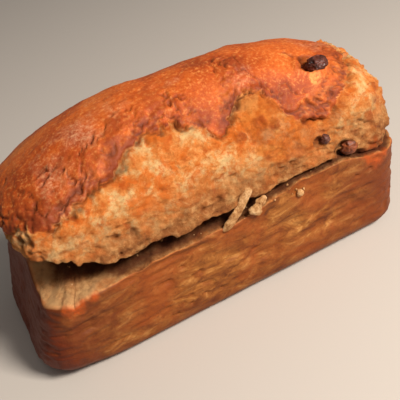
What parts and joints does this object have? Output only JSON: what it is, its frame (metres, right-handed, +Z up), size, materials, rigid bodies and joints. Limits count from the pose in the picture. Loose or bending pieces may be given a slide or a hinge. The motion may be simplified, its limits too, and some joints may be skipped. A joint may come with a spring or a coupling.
{
  "type": "tin loaf",
  "caption": "Whole raisin tin loaf: flat base, tin-shaped sides, domed cap burst open along one long side.",
  "frame": {"origin": "bottom centre of the loaf's outline, on the flat base", "axes": "+Z up, X along the loaf's length, the burst on the -Y side"},
  "size_m": [0.252, 0.118, 0.1323],
  "materials": {
    "crust": "matte",
    "raisin": "satin"
  },
  "bodies": {
    "root": {"loaf": "crust", "raisin_top": "raisin", "raisin_end": "raisin", "raisin_lip": "raisin"}
  },
  "joints": []
}
